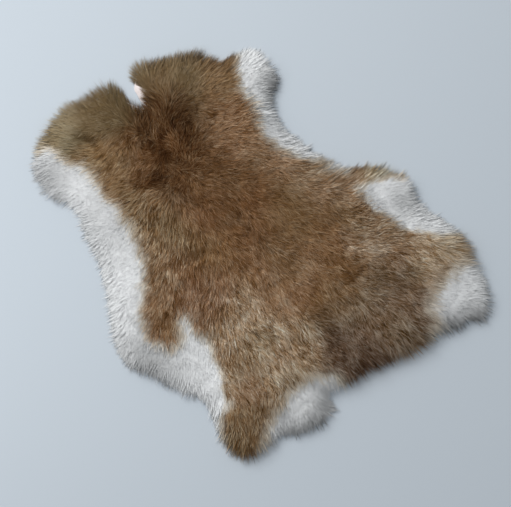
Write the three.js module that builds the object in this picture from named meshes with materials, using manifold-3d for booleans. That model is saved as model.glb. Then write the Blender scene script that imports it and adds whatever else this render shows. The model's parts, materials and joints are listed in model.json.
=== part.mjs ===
// A rabbit skin pelt that lies flat with its fur side up. It is one body: a lumpy slab of pile on
// its hide, with tapered locks of hair that lie on the floor all round its rim.
// Millimetres. +X runs along the spine from the neck to the tail, +Y to the skin's right side and
// +Z up. The origin is the middle of the underside, which is flat at z = 0.
import * as THREE from 'three';
import { mergeVertices } from 'three/addons/utils/BufferGeometryUtils.js';
import Module from 'manifold-3d';

const wasm = await Module();
wasm.setup();

// The slab of pile
const slabInset = 7;
const rimHeight = 3.8;
const riseRun = 26;
const riseCurve = 3;
const pileBlend = 42;
const pileCell = 7;
const gridMargin = 12;
const lumpSize = 21;
const lumpHeight = 2.1;
const tuftSize = 11;
const tuftHeight = 1.1;
const outlineStep = 6;
const cutHeight = 60;
const cutDepth = 5;

// The locks round the rim
const lockSpacing = 5.8;
const lockRoot = 4.5;
const lockReach = 8;
const lockReachSpread = 2.8;
const lockWidth = 4.8;
const lockHeight = 3.5;
const lockTip = 0.8;
const lockSegments = 3;
const lockSwing = 0.26;
const lockBend = 1.5;
const lockGap = 0.5;
const layShare = 0.45;

// The line along the spine from which the fur is laid outwards
const partingFront = new THREE.Vector2(-137, 19);
const partingBack = new THREE.Vector2(-59, 19);

// The fur's outline, clockwise from the cut in the neck. Each row is a place on the rim.
const rightNeckRim = [
  { place: 'neck cut floor', x: -138, y: 39 },
  { place: 'neck cut right side', x: -150, y: 41 },
  { place: 'right lobe corner', x: -162, y: 50 },
  { place: 'right lobe shoulder', x: -165, y: 64 },
  { place: 'right lobe front', x: -154, y: 80 },
  { place: 'right lobe crown', x: -141, y: 97 },
  { place: 'right lobe dip', x: -115, y: 110 },
];
const pawTuftRim = [
  { place: 'paw tuft front', x: -107, y: 125 },
  { place: 'paw tuft crown', x: -91, y: 136 },
  { place: 'paw tuft side', x: -70, y: 129 },
  { place: 'paw tuft root', x: -60, y: 111 },
];
const rightFlankRim = [
  { place: 'shoulder hollow', x: -38, y: 103 },
  { place: 'right flank front', x: -15, y: 103 },
  { place: 'right flank waist', x: 6, y: 107 },
  { place: 'right flank bend', x: 21, y: 114 },
];
const hindLegRim = [
  { place: 'hind leg front', x: 33, y: 127 },
  { place: 'hind leg crown', x: 50, y: 136 },
  { place: 'hind leg heel', x: 69, y: 137 },
  { place: 'hind leg nick', x: 81, y: 129 },
];
const haunchRim = [
  { place: 'haunch front', x: 109, y: 132 },
  { place: 'haunch bend', x: 128, y: 131 },
  { place: 'haunch back', x: 158, y: 119 },
  { place: 'tail corner front', x: 176, y: 111 },
  { place: 'tail corner', x: 187, y: 96 },
  { place: 'tail corner back', x: 184, y: 77 },
];
const rumpRim = [
  { place: 'rump nick', x: 169, y: 57 },
  { place: 'rump swell', x: 163, y: 33 },
  { place: 'rump slope', x: 149, y: 3 },
  { place: 'rump back', x: 137, y: -25 },
  { place: 'leg tuft nick', x: 131, y: -38 },
];
const legTuftRim = [
  { place: 'leg tuft tip', x: 145, y: -41 },
  { place: 'leg tuft side', x: 149, y: -54 },
  { place: 'leg tuft back', x: 134, y: -80 },
  { place: 'leg tuft root', x: 123, y: -94 },
];
const leftLegRim = [
  { place: 'left leg side', x: 122, y: -111 },
  { place: 'left leg tip', x: 115, y: -125 },
  { place: 'left leg shoulder', x: 94, y: -127 },
  { place: 'left leg root', x: 63, y: -119 },
];
const bellyRim = [
  { place: 'belly back', x: 41, y: -121 },
  { place: 'belly middle', x: 13, y: -130 },
  { place: 'belly corner', x: -12, y: -136 },
  { place: 'belly front', x: -30, y: -127 },
];
const leftFlankRim = [
  { place: 'left flank back', x: -53, y: -105 },
  { place: 'left flank middle', x: -83, y: -83 },
  { place: 'left flank front', x: -113, y: -70 },
];
const leftArmRim = [
  { place: 'left arm nick', x: -130, y: -65 },
  { place: 'left arm heel', x: -144, y: -70 },
  { place: 'left arm side', x: -161, y: -68 },
  { place: 'left arm tip', x: -179, y: -54 },
];
const leftNeckRim = [
  { place: 'left lobe side', x: -187, y: -31 },
  { place: 'left lobe corner', x: -189, y: -7 },
  { place: 'left lobe front', x: -181, y: 15 },
  { place: 'left lobe crown', x: -171, y: 35 },
  { place: 'neck cut left side', x: -153, y: 36 },
];
const rim = [
  ...rightNeckRim,
  ...pawTuftRim,
  ...rightFlankRim,
  ...hindLegRim,
  ...haunchRim,
  ...rumpRim,
  ...legTuftRim,
  ...leftLegRim,
  ...bellyRim,
  ...leftFlankRim,
  ...leftArmRim,
  ...leftNeckRim,
];

// How high the pile stands at each place, well inside the rim
const pileHeights = [
  { place: 'left neck lobe', x: -165, y: -5, height: 11.5 },
  { place: 'right neck lobe', x: -143, y: 72, height: 11.5 },
  { place: 'shoulders', x: -105, y: 22, height: 15.5 },
  { place: 'paw tuft', x: -88, y: 112, height: 13 },
  { place: 'left arm', x: -150, y: -48, height: 10.5 },
  { place: 'middle of the back', x: -20, y: 20, height: 14.5 },
  { place: 'left flank', x: -75, y: -58, height: 11.5 },
  { place: 'right flank', x: 5, y: 86, height: 11.5 },
  { place: 'belly', x: -5, y: -105, height: 10.5 },
  { place: 'hind leg', x: 70, y: 112, height: 10.5 },
  { place: 'haunches', x: 95, y: 45, height: 15.5 },
  { place: 'tail corner', x: 160, y: 88, height: 12 },
  { place: 'rump', x: 120, y: -5, height: 14 },
  { place: 'leg tuft', x: 130, y: -60, height: 13 },
  { place: 'left leg', x: 98, y: -103, height: 13 },
];

// Hollows where the pile parts, each along a line
const hollows = [
  { place: 'left neck crease', x1: -168, y1: -18, x2: -148, y2: -8, depth: 4, width: 7 },
  { place: 'neck cut end', x1: -132, y1: 36, x2: -120, y2: 26, depth: 3, width: 8 },
  { place: 'paw tuft root', x1: -106, y1: 112, x2: -80, y2: 97, depth: 3, width: 7 },
  { place: 'back parting', x1: -34, y1: 33, x2: -8, y2: 12, depth: 2.5, width: 8 },
  { place: 'leg tuft valley', x1: 118, y1: -92, x2: 108, y2: -50, depth: 4.5, width: 8 },
  { place: 'belly valley', x1: 22, y1: -66, x2: 62, y2: -100, depth: 3.5, width: 9 },
  { place: 'hind leg fold', x1: 40, y1: 116, x2: 88, y2: 100, depth: 3, width: 8 },
];

// Repeatable numbers from 0 to 1
function randomFrom(seed) {
  let state = seed;
  return () => {
    state = (state * 1664525 + 1013904223) % 4294967296;
    return state / 4294967296;
  };
}

// A fixed number from -1 to 1 for each corner of a lattice
function cornerValue(column, row, layer) {
  const wave = Math.sin(column * 127.1 + row * 311.7 + layer * 74.7) * 43758.5453;
  return 2 * (wave - Math.floor(wave)) - 1;
}

// Soft bumps from -1 to 1 whose size is that of a lattice cell
function bumps(x, y, size, layer) {
  const column = Math.floor(x / size);
  const row = Math.floor(y / size);
  const u = THREE.MathUtils.smoothstep(x / size - column, 0, 1);
  const v = THREE.MathUtils.smoothstep(y / size - row, 0, 1);
  const low = THREE.MathUtils.lerp(
    cornerValue(column, row, layer),
    cornerValue(column + 1, row, layer),
    u,
  );
  const high = THREE.MathUtils.lerp(
    cornerValue(column, row + 1, layer),
    cornerValue(column + 1, row + 1, layer),
    u,
  );
  return THREE.MathUtils.lerp(low, high, v);
}

// The nearest point to a place on the line between two ends
function nearestOnLine(place, from, to) {
  const line = to.clone().sub(from);
  const share = place.clone().sub(from).dot(line) / line.lengthSq();
  return from.clone().addScaledVector(line, THREE.MathUtils.clamp(share, 0, 1));
}

// The way the fur lies at a place: outwards from the parting along the spine
function layAt(place) {
  return place.clone().sub(nearestOnLine(place, partingFront, partingBack)).normalize();
}

const rimCurve = new THREE.CatmullRomCurve3(
  rim.map(({ x, y }) => new THREE.Vector3(x, y, 0)),
  true,
  'centripetal',
);
rimCurve.arcLengthDivisions = 1200;

// A place at a share of the way round the slab, and the way out from it across the rim
function slabPlace(share) {
  const point = rimCurve.getPointAt(share % 1);
  const tangent = rimCurve.getTangentAt(share % 1);
  const outward = new THREE.Vector2(-tangent.y, tangent.x);
  const place = new THREE.Vector2(point.x, point.y).addScaledVector(outward, -slabInset);
  return { place, outward };
}

const outlineCount = Math.round(rimCurve.getLength() / outlineStep);
const slabOutline = Array.from(
  { length: outlineCount },
  (_, i) => slabPlace(i / outlineCount).place,
);

function distanceToRim(place) {
  let nearest = Infinity;
  slabOutline.forEach((corner, i) => {
    const next = slabOutline[(i + 1) % outlineCount];
    nearest = Math.min(nearest, place.distanceTo(nearestOnLine(place, corner, next)));
  });
  return nearest;
}

function fullPileAt(place) {
  let total = 0;
  let weights = 0;
  for (const { x, y, height } of pileHeights) {
    const weight = Math.exp(-(((place.x - x) ** 2 + (place.y - y) ** 2) / pileBlend ** 2));
    total += weight * height;
    weights += weight;
  }
  return total / weights;
}

function hollowAt(place) {
  let depth = 0;
  for (const { x1, y1, x2, y2, depth: deepest, width } of hollows) {
    const ends = [new THREE.Vector2(x1, y1), new THREE.Vector2(x2, y2)];
    const away = place.distanceTo(nearestOnLine(place, ...ends)) / width;
    depth += deepest * Math.exp(-away * away);
  }
  return depth;
}

// The pile is low and round at the rim, and lumpy and full inside it
function pileTopAt(x, y) {
  const place = new THREE.Vector2(x, y);
  const inside = Math.min(distanceToRim(place) / riseRun, 1);
  const rise = 1 - (1 - inside) ** riseCurve;
  const lumps = lumpHeight * bumps(x, y, lumpSize, 1) + tuftHeight * bumps(x, y, tuftSize, 2);
  return rimHeight + rise * (fullPileAt(place) - rimHeight + lumps - hollowAt(place));
}

function asSolid(geometry) {
  const bare = geometry.clone();
  bare.deleteAttribute('normal');
  bare.deleteAttribute('uv');
  const merged = mergeVertices(bare);
  return new wasm.Manifold(
    new wasm.Mesh({
      numProp: 3,
      vertProperties: new Float32Array(merged.attributes.position.array),
      triVerts: new Uint32Array(merged.index.array),
    }),
  );
}

function asGeometry(solid) {
  const mesh = solid.getMesh();
  const geometry = new THREE.BufferGeometry();
  geometry.setAttribute('position', new THREE.BufferAttribute(mesh.vertProperties, 3));
  geometry.setIndex(new THREE.BufferAttribute(mesh.triVerts, 1));
  geometry.computeVertexNormals();
  return geometry;
}

// A block whose top is the lumpy pile, wider than the pelt on every side
function pileBlock() {
  const box = new THREE.Box2().setFromPoints(slabOutline).expandByScalar(gridMargin);
  const size = box.getSize(new THREE.Vector2());
  const columns = Math.ceil(size.x / pileCell);
  const rows = Math.ceil(size.y / pileCell);
  const top = new THREE.PlaneGeometry(size.x, size.y, columns, rows);
  const middle = box.getCenter(new THREE.Vector2());
  top.translate(middle.x, middle.y, 0);
  const corners = top.attributes.position;
  for (let i = 0; i < corners.count; i++) {
    corners.setZ(i, pileTopAt(corners.getX(i), corners.getY(i)));
  }

  const positions = Array.from(corners.array);
  const faces = Array.from(top.index.array);
  const across = columns + 1;
  const edge = [];
  for (let c = 0; c < columns; c++) edge.push(c);
  for (let r = 0; r < rows; r++) edge.push(r * across + columns);
  for (let c = columns; c > 0; c--) edge.push(rows * across + c);
  for (let r = rows; r > 0; r--) edge.push(r * across);

  const firstLow = corners.count;
  for (const i of edge) {
    positions.push(corners.getX(i), corners.getY(i), -cutDepth);
  }
  const lowMiddle = firstLow + edge.length;
  positions.push(middle.x, middle.y, -cutDepth);
  edge.forEach((high, i) => {
    const next = (i + 1) % edge.length;
    faces.push(high, edge[next], firstLow + i);
    faces.push(edge[next], firstLow + next, firstLow + i);
    faces.push(firstLow + i, firstLow + next, lowMiddle);
  });

  const block = new THREE.BufferGeometry();
  block.setAttribute('position', new THREE.Float32BufferAttribute(positions, 3));
  block.setIndex(faces);
  return block;
}

// The slab is the lumpy block cut to the outline, flat underneath
function slabSolid() {
  const cutter = new THREE.ExtrudeGeometry(new THREE.Shape(slabOutline), {
    depth: cutHeight,
    bevelEnabled: false,
  });
  return asSolid(pileBlock()).intersect(asSolid(cutter));
}

// One lock: it lies on the floor, with a flat base and three or four sides, and thins to its tip
function lockAt(share, random) {
  const { place, outward } = slabPlace(share);
  const way = outward.clone().lerp(layAt(place), layShare).normalize();
  way.rotateAround(new THREE.Vector2(), lockSwing * (2 * random() - 1));
  const side = new THREE.Vector2(-way.y, way.x);
  const root = place.clone().addScaledVector(way, -lockRoot);
  const length = lockRoot + lockReach + lockReachSpread * (2 * random() - 1);
  const bend = lockBend * (2 * random() - 1);
  const sides = random() < 0.5 ? 3 : 4;
  const sections = [];
  for (let i = 0; i <= lockSegments; i++) {
    const along = i / lockSegments;
    const full = Math.sqrt(1 - along);
    sections.push({
      centre: root
        .clone()
        .addScaledVector(way, length * along)
        .addScaledVector(side, bend * along * along),
      half: Math.max(lockWidth * full, lockTip) / 2,
      height: Math.max(lockHeight * full, lockTip),
    });
  }
  return { side, sides, sections };
}

// Locks stand apart: a new one is left out where it would touch one that is there
function standsApart(lock, others) {
  return others.every((other) =>
    lock.sections.slice(1).every((mine) =>
      other.sections.slice(1).every(
        (theirs) =>
          mine.centre.distanceTo(theirs.centre) > mine.half + theirs.half + lockGap,
      ),
    ),
  );
}

function lockGeometry({ side, sides, sections }) {
  const positions = [];
  for (const { centre, half, height } of sections) {
    const top = sides === 3 ? [0] : [half / 2, -half / 2];
    const corners = [[-half, 0], [half, 0], ...top.map((x) => [x, height])];
    for (const [x, z] of corners) {
      const corner = centre.clone().addScaledVector(side, x);
      positions.push(corner.x, corner.y, z);
    }
  }
  const faces = [];
  const last = (sections.length - 1) * sides;
  for (let i = 1; i < sides - 1; i++) {
    faces.push(0, i + 1, i);
    faces.push(last, last + i, last + i + 1);
  }
  for (let section = 0; section < sections.length - 1; section++) {
    for (let corner = 0; corner < sides; corner++) {
      const near = section * sides;
      const next = (corner + 1) % sides;
      faces.push(near + corner, near + next, near + sides + corner);
      faces.push(near + next, near + sides + next, near + sides + corner);
    }
  }
  const geometry = new THREE.BufferGeometry();
  geometry.setAttribute('position', new THREE.Float32BufferAttribute(positions, 3));
  geometry.setIndex(faces);
  return geometry;
}

function rimLocks() {
  const random = randomFrom(2417);
  const count = Math.round(rimCurve.getLength() / lockSpacing);
  const locks = [];
  for (let i = 0; i < count; i++) {
    const lock = lockAt((i + 0.3 * random()) / count, random);
    if (standsApart(lock, locks)) locks.push(lock);
  }
  return locks;
}

function peltGeometry() {
  let pelt = slabSolid();
  for (const lock of rimLocks()) {
    pelt = pelt.add(asSolid(lockGeometry(lock)));
  }
  return asGeometry(pelt);
}

const furMaterial = new THREE.MeshStandardMaterial({
  name: 'fur',
  color: '#7d6247',
  roughness: 0.95,
  metalness: 0,
});

const pelt = new THREE.Mesh(peltGeometry(), furMaterial);
pelt.name = 'pelt';

const rabbitSkin = new THREE.Group();
rabbitSkin.add(pelt);

export default rabbitSkin;
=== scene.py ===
import json
import math

import bpy
import numpy as np
from mathutils import Matrix, Vector
from mathutils.bvhtree import BVHTree
from mathutils.geometry import delaunay_2d_cdt

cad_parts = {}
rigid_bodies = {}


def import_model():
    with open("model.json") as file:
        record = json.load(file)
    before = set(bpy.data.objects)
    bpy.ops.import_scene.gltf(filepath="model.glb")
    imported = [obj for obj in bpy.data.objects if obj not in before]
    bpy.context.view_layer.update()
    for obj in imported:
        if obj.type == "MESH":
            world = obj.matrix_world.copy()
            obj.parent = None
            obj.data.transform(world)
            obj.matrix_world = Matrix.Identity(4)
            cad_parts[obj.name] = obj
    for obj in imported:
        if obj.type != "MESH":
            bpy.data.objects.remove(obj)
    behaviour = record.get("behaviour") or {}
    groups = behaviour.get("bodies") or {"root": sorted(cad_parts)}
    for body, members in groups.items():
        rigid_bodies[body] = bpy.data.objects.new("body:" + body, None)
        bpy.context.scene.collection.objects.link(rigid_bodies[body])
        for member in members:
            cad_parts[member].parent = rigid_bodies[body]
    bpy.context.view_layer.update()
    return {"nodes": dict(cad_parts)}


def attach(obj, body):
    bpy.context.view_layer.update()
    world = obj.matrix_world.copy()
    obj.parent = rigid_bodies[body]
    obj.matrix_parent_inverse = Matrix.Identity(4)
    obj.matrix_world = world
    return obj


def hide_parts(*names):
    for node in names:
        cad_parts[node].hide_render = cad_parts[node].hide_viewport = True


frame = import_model()

# A millimetre in metres, and the square millimetres in a square metre
MM = 0.001
PER_M2 = 1e6

# Sizes in millimetres
HIDE_INSET = 5.2
HIDE_THICK = 1.1
HIDE_CELL = 9.0
FUR_INSET = 6.0
OUTLINE_STEP = 2.6
MAT_CELL = 3.1
MAT_RIM = 1.5
MAT_RUN = 30.0
MAT_TUFTS_FROM = 12.0
HAIR_LENGTH = 8.8
GUARD_LENGTH = 12.8
RIM_OVERHANG = 0.8
GUARD_OVERHANG = 1.8
CUT_OVERHANG = -3.5
RIM_WIDTH = 13.0
RIM_BAND = 6.0
LEVEL_BAND = 8.0
RIM_LAY_WIDTH = 24.0
PAINTED_RIM_SHADE_WIDTH = 12.0
PAINTED_RIM_LIGHT_WIDTH = 7.0
FLOOR_REST = 0.25

# The underfur's height as a share of the pile's, and how steeply it slopes to the rim
MAT_SHARE = 0.7
MAT_SLOPE_SIDE = 0.62
MAT_SLOPE_TAIL = 1.2

# Hairs in a square millimetre, and how many more there are at the rim
COAT_PER_MM2 = 2.62
GUARD_PER_MM2 = 0.59
RIM_MORE = 1.0

# How far hair rises from the pile, and at the rim from the floor
HAIR_LIFT = math.radians(36)
WHORL_LIFT = math.radians(6)
RIM_LIFT = math.radians(-7)
RIM_LIFT_TAIL = math.radians(14)
CALM_LIFT = 0.35
CALM_ARCH = 0.4
GUARD_RISE = 0.45

# How hair lies: the reach of the parting, the turns along the way, and the pull at the rim
WHORL_REACH = 24.0
PARTING_TURN = 0.9
FINE_TURN = 0.3
WHORL_FINE_TURN = 0.5
WHORL_FINE_POWER = 0.3
RIM_LAY = 0.6

# How far a hair strays from its way, and how far tufts and wisps draw it in
STRAY = 0.24
WHORL_STRAY = 0.24
RIM_TIDIER = 0.4
CALM_TIDIER = 0.72
STRAY_LOW = (-1, -1, -0.6)
STRAY_HIGH = (1, 1, 0.5)
TUFT_CELLS = 95.0
WISP_CELLS = 270.0
CELL_WANDER = 0.009
CELL_WANDER_SCALE = 120.0
TUFT_PULL = 26.0
WHORL_PULL = 0.8
CALM_PULL = 0.05
RIM_PULL = 0.05

# How lengths and widths differ
LENGTH_SHARE = 0.97
LENGTH_SPREAD = 0.2
RIM_SPREAD = 0.62
CALM_SHORTER = 0.3
WHORL_SHORTER = 0.22
CALM_GUARD_SHORTER = 0.6
RIM_FINER = 0.62
WHITE_COARSER = 0.3
CALM_WIDER = 0.6

# How much of a hair's shading is its own, and how level the pile's shading is at the rim
OWN_SHADE = 0.25
CALM_SMOOTHER = 0.9
RIM_LEVEL = 0.7

# How hairs differ in tone: each by itself, each tuft, and each small place
HAIR_TONE = 0.6
TUFT_TONE = 1.6
TUFT_TONE_SCALE = 330.0
PLACE_TONE = 3.0
PLACE_TONE_SCALE = 460.0

# Where along its length a hair shows its colour
SEEN_AT = 0.55

# How far a hair's tip drops below its root for the height of its arch
TIP_DROP = 0.25

# Each hair's strip in the map of colours: where it starts, how long it is, and how high for its width
STRIP_START = 0.06
STRIP_RUN = 0.88
STRIP_HEIGHT = 0.4

# How close the hide's edge comes to the solid's rim at the cut
HIDE_TO_CUT = 0.85

# An inset point nearer the curve than this share of its depth lies in a fold and is left out
FOLD_SHARE = 0.95

# The grid that fills an outline: its rows' spacing, and the gap that it leaves at the edge
ROW_SHARE = 0.866
EDGE_GAP = 0.62

# Triangles are kept only inside the outline, and points this close together count as one
INSIDE_ONLY = 1
CLOSENESS = 1e-5

# A brown's least weight, so that each place has a colour
LEAST_WEIGHT = 1e-9

# Each place draws a number up to this, and the hairs are counted round to pick one
PICKS = 100

# Faces that point further down than this carry no hair
DOWNWARD = -0.5

# The height in metres from which the pile is felt for, and how many places are measured at a time
FEEL_FROM = 0.1
PLACES_AT_ONCE = 2000

# The numbers of the sine hash that the soft bumps are drawn from
HASH_X = 127.1
HASH_Y = 311.7
HASH_NUMBER = 74.7
HASH_SCALE = 43758.5453

# The line along the spine from which the fur is laid outwards
PARTING = ((-124, 24), (-82, 22))

# The right shoulder, where the fur is brushed back towards the tail: where it is, its reach and strength
BRUSHED = (-68, 84, 42, 0.8)

# The side of the neck's cut where the hide's edge shows, and how far that reaches
CUT_LINE = ((-137, 39), (-152, 44))
CUT_REACH = 6.5

# From which outward way along the spine the rim faces the tail, and over what run it turns there
TAIL_FROM = -0.3
TAIL_RUN = 1.1

# Soft bumps: how far each swings, the size of its cells in millimetres, and its own number
BUMPS = {
    "hide": (0.12, 17, 9),
    "underfur": (0.5, 7, 7),
    "turn at the parting": (1.3, 9, 3),
    "broad turn": (0.4, 26, 4),
    "fine turn": (1.0, 13, 11),
    "broad white edge": (3.0, 13, 5),
    "fine white edge": (1.8, 5, 6),
    "warmth": (0.04, 20, 13),
    "overhang": (1.2, 6, 10),
    "hair length": (1.0, 9, 8),
    "guard length": (1.5, 9, 12),
}

# The solid's outline, clockwise from the cut in the neck
RIM = [
    ("neck cut floor", -138, 39),
    ("neck cut right side", -150, 41),
    ("right lobe corner", -162, 50),
    ("right lobe shoulder", -165, 64),
    ("right lobe front", -154, 80),
    ("right lobe crown", -141, 97),
    ("right lobe dip", -115, 110),
    ("paw tuft front", -107, 125),
    ("paw tuft crown", -91, 136),
    ("paw tuft side", -70, 129),
    ("paw tuft root", -60, 111),
    ("shoulder hollow", -38, 103),
    ("right flank front", -15, 103),
    ("right flank waist", 6, 107),
    ("right flank bend", 21, 114),
    ("hind leg front", 33, 127),
    ("hind leg crown", 50, 136),
    ("hind leg heel", 69, 137),
    ("hind leg nick", 81, 129),
    ("haunch front", 109, 132),
    ("haunch bend", 128, 131),
    ("haunch back", 158, 119),
    ("tail corner front", 176, 111),
    ("tail corner", 187, 96),
    ("tail corner back", 184, 77),
    ("rump nick", 169, 57),
    ("rump swell", 163, 33),
    ("rump slope", 149, 3),
    ("rump back", 137, -25),
    ("leg tuft nick", 131, -38),
    ("leg tuft tip", 145, -41),
    ("leg tuft side", 149, -54),
    ("leg tuft back", 134, -80),
    ("leg tuft root", 123, -94),
    ("left leg side", 122, -111),
    ("left leg tip", 115, -125),
    ("left leg shoulder", 94, -127),
    ("left leg root", 63, -119),
    ("belly back", 41, -121),
    ("belly middle", 13, -130),
    ("belly corner", -12, -136),
    ("belly front", -30, -127),
    ("left flank back", -53, -105),
    ("left flank middle", -83, -83),
    ("left flank front", -113, -70),
    ("left arm nick", -130, -65),
    ("left arm heel", -144, -70),
    ("left arm side", -161, -68),
    ("left arm tip", -179, -54),
    ("left lobe side", -187, -31),
    ("left lobe corner", -189, -7),
    ("left lobe front", -181, 15),
    ("left lobe crown", -171, 35),
    ("neck cut left side", -153, 36),
]

# The white parts of the coat, each a closed outline that runs past the rim
WHITE = {
    "left flank": [
        (-194, -58), (-183, -48), (-177, -45), (-174, -37), (-168, -35), (-161, -36), (-154, -33),
        (-146, -29), (-140, -30), (-127, -30), (-113, -36), (-100, -33), (-84, -40), (-69, -46),
        (-57, -54), (-48, -61), (-44, -70), (-34, -80), (-23, -88), (-11, -97), (0, -99), (10, -96),
        (12, -87), (5, -77), (-4, -69), (4, -67), (16, -69), (35, -74), (57, -83), (73, -96),
        (76, -112), (87, -119), (98, -124), (110, -127), (118, -138), (57, -153), (-14, -171),
        (-80, -120), (-148, -92),
    ],
    "paw tuft": [
        (-120, 128), (-110, 118), (-104, 112), (-95, 108), (-89, 100), (-79, 97), (-69, 100),
        (-49, 120), (-61, 146), (-99, 152),
    ],
    "right flank": [
        (-74, 98), (-65, 91), (-52, 85), (-40, 83), (-30, 84), (-18, 89), (-5, 94), (10, 97),
        (22, 103), (19, 118), (-2, 121), (-37, 118), (-60, 120),
    ],
    "hind leg": [
        (35, 102), (42, 111), (49, 120), (57, 128), (65, 134), (78, 136), (131, 144), (132, 133),
        (124, 128), (113, 118), (99, 107), (83, 101), (71, 98), (59, 98), (48, 98),
    ],
    "tail corner": [
        (150, 134), (144, 121), (141, 112), (139, 103), (140, 94), (139, 85), (138, 76), (144, 69),
        (151, 65), (157, 62), (159, 50), (163, 42), (195, 64), (212, 100), (176, 135),
    ],
    "leg tuft": [
        (116, -115), (112, -99), (107, -85), (104, -70), (102, -57), (105, -44), (109, -33),
        (119, -23), (137, -24), (164, -39), (155, -79), (134, -110),
    ],
}

# How far each white part's edge fades into the brown
WHITE_EDGES = {
    "left flank": 9.0,
    "paw tuft": 7.0,
    "right flank": 7.5,
    "hind leg": 5.0,
    "tail corner": 15.0,
    "leg tuft": 12.0,
}

# The browns of the coat, as chosen
PALETTE = {
    "deep brown": "58381a",
    "russet": "74502f",
    "warm brown": "906a47",
    "brown": "98754f",
    "olive": "6d5c40",
    "olive fawn": "7d694c",
    "olive brown": "9b7e5b",
    "pale olive": "a09377",
    "tan": "a88562",
    "fawn": "b6997a",
    "rosy fawn": "aa8465",
    "sand": "c5a988",
    "grey brown": "8f765d",
    "dusk brown": "775b46",
    "dove brown": "a0866b",
    "pale fawn": "d6c3a6",
}

# Where each brown lies, how far it reaches, its colour, how strongly light tips show there and
# how much its hairs differ
BROWNS = [
    ("neck", -118, 44, 18, "deep brown", 0.15, 2.8),
    ("nape", -94, 30, 20, "russet", 0.15, 2.6),
    ("left nape", -116, 10, 14, "warm brown", 0.2, 2.2),
    ("left lobe", -162, 16, 20, "olive", 0.2, 0.4),
    ("left lobe corner", -184, -14, 13, "pale olive", 0.2, 0.4),
    ("left shoulder", -130, -12, 13, "olive brown", 0.2, 1.5),
    ("right lobe", -142, 76, 24, "olive fawn", 0.2, 0.3),
    ("right lobe side", -106, 95, 13, "olive brown", 0.2, 0.6),
    ("right shoulder", -70, 78, 18, "tan", 0.3, 2.0),
    ("shoulder rim", -44, 84, 12, "fawn", 0.3, 1.6),
    ("back front", -58, 24, 22, "warm brown", 0.2, 1.8),
    ("back", -18, 26, 22, "warm brown", 0.2, 1.8),
    ("left side", -62, -32, 17, "olive brown", 0.4, 2.5),
    ("left side rim", -70, -48, 10, "sand", 0.4, 2.2),
    ("left side back", -34, -42, 14, "tan", 0.5, 2.5),
    ("side patch", 4, -45, 17, "rosy fawn", 0.5, 2.0),
    ("left back", -12, -14, 18, "brown", 0.4, 1.8),
    ("middle", 36, 10, 22, "tan", 0.5, 1.6),
    ("right back", 14, 54, 20, "brown", 0.3, 1.4),
    ("right flank", 10, 90, 18, "fawn", 0.35, 1.6),
    ("haunch", 78, 92, 18, "fawn", 0.4, 2.6),
    ("tail band", 131, 118, 12, "pale fawn", 0.4, 1.6),
    ("haunch back", 112, 98, 12, "sand", 0.5, 2.8),
    ("tail root", 138, 100, 11, "fawn", 0.4, 1.8),
    ("grey rump", 106, 72, 12, "dove brown", 0.5, 2.2),
    ("ridge", 78, 32, 16, "brown", 0.5, 1.8),
    ("rump", 112, 36, 19, "dove brown", 0.7, 2.6),
    ("rump back", 138, 54, 12, "grey brown", 0.6, 2.4),
    ("low rump", 120, 2, 16, "dusk brown", 0.7, 2.9),
    ("loin", 38, -42, 20, "sand", 1.0, 3.2),
    ("low loin", 82, -36, 18, "sand", 1.0, 3.3),
    ("leg patch", -8, -82, 11, "tan", 0.3, 2.2),
    ("left leg root", 62, -78, 13, "fawn", 0.6, 2.2),
    ("left leg tip", 98, -106, 13, "olive brown", 0.5, 2.7),
    ("hind leg rim", 44, 130, 11, "pale fawn", 0.3, 1.6),
]

# How far inside the solid's rim the fur's own rim lies, and where it lies further in or out
RIM_SHORT = 2.4
SHORT = [
    ("neck cut left side", -157, 36, 12, -3.8),
    ("neck cut left floor", -148, 33, 6, -4.0),
    ("neck cut floor", -137, 39, 5, -1.0),
    ("neck cut right side", -149, 43, 5.5, 7.0),
    ("right lobe corner", -164, 53, 9, -2.8),
    ("right lobe crown", -147, 88, 14, 0.8),
    ("right lobe dip", -113, 112, 8, -3.5),
    ("paw tuft front", -104, 127, 10, -5.0),
    ("paw tuft crown", -82, 134, 8, 2.5),
    ("paw tuft side", -69, 127, 8, -1.5),
    ("hind leg crown", 43, 133, 13, 4.5),
    ("haunch back", 158, 119, 9, -1.5),
    ("tail corner front", 180, 108, 12, 3.0),
    ("tail corner back", 182, 73, 12, 6.0),
    ("rump nick", 169, 50, 10, 2.0),
    ("rump slope", 153, 10, 28, 3.8),
    ("leg tuft nick", 135, -38, 5, -3.0),
    ("leg tuft side", 147, -57, 17, 5.0),
    ("left leg tip", 117, -119, 13, 3.0),
    ("left leg root", 54, -119, 14, 5.0),
    ("belly", 6, -130, 34, 6.8),
    ("left flank front", -120, -67, 13, 3.0),
    ("left arm", -150, -69, 20, 4.2),
    ("left lobe side", -188, -25, 14, 1.8),
]

# Where the hair is short and lies smooth, besides the white parts
CALM = [
    ("left lobe", -166, 10, 32, 0.85),
    ("left lobe crown", -163, 34, 13, 0.9),
    ("right lobe", -148, 72, 28, 0.85),
    ("right lobe side", -120, 97, 18, 0.6),
]

# Painted shade where the pile parts and its depth shows: a line, how wide it is, and how dark
PAINTED_CREASE_SHADE = [
    ("left lobe crease", -163, -14, -149, -7, 4, 0.6),
    ("neck cut end", -131, 24, -120, 22, 6, 0.5),
    ("nape tuft", -104, 48, -96, 44, 6, 0.4),
    ("shoulder tuft", -92, 2, -86, 2, 6, 0.45),
    ("side tuft", -78, -2, -58, 6, 5, 0.35),
    ("back crease", -26, 22, 19, 18, 4, 0.28),
    ("flank tuft", -33, -26, -26, -24, 5, 0.3),
    ("leg tuft valley", 116, -90, 106, -56, 6, 0.3),
    ("rump crease", 115, 84, 116, 60, 5, 0.3),
    ("rump fold", 79, 40, 87, -5, 6, 0.24),
]
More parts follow.
